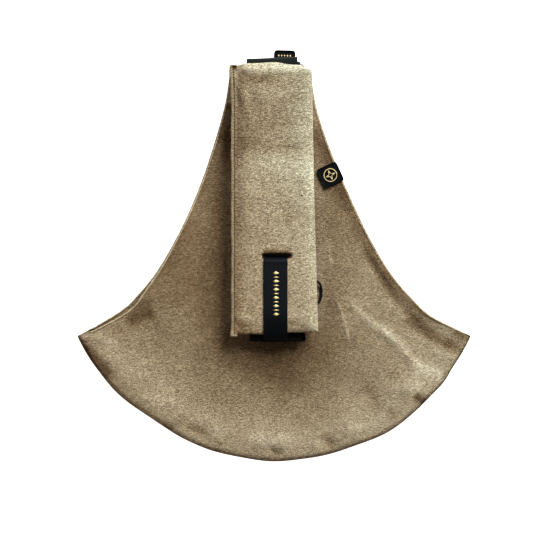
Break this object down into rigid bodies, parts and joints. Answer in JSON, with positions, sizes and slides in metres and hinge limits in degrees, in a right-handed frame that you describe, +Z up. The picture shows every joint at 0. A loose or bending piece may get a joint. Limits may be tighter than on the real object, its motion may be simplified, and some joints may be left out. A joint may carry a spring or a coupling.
{
  "type": "baby carrier",
  "caption": "Soft pouch-style baby carrier lying flat, with its padded shoulder strap folded down over the pouch and a slider that adjusts the webbing.",
  "frame": {"origin": "middle of the base, on the surface that the carrier lies on", "axes": "+Y from the seat seam to the neck, +X to the right seen from above, +Z up off the surface, out of the front of the carrier"},
  "size_m": [0.392, 0.4109, 0.029],
  "materials": {
    "panel_fabric": "heathered linen-look weave, matt",
    "sleeve_fabric": "heathered linen-look weave, matt, lightly padded",
    "webbing": "woven polyester webbing, dull",
    "ribbon": "woven grosgrain ribbon, slight sheen",
    "label": "woven damask label, slight sheen",
    "care_label": "thin white satin tape, blank",
    "foam": "polyester wadding",
    "elastic": "braided round elastic",
    "ring_steel": "nickel-plated wire",
    "slider_plastic": "moulded acetal"
  },
  "bodies": {
    "root": {"back_panel": "panel_fabric", "front_panel_seat": "panel_fabric", "seat_seam_tape": "webbing", "care_label": "care_label", "rear_webbing_end": "webbing", "top_label": "label"},
    "front_flap": {"front_panel_upper": "panel_fabric", "front_neck_cuff": "panel_fabric", "ring_anchor_webbing": "webbing", "neck_ring": "ring_steel", "side_label": "label"},
    "strap": {"sleeve_cover": "sleeve_fabric", "foam_pad": "foam", "strap_webbing": "webbing", "tail_webbing": "webbing", "keeper_band": "ribbon", "elastic_loop": "elastic"},
    "slider": {"strap_slider": "slider_plastic"}
  },
  "joints": [
    {"name": "pouch_open", "type": "hinge", "parent": "root", "child": "front_flap", "pos_m": [0, -0.08, 0.005], "axis": [1, 0, 0], "range_deg": [0, 35]},
    {"name": "strap_fold", "type": "hinge", "parent": "front_flap", "child": "strap", "pos_m": [0, 0.19, 0.0138], "axis": [-1, 0, 0], "range_deg": [0, 170]},
    {"name": "slider_travel", "type": "slide", "parent": "strap", "child": "slider", "axis": [0, 1, 0], "range_m": [-0.1, 0.065], "deforming": ["tail_webbing"]}
  ]
}
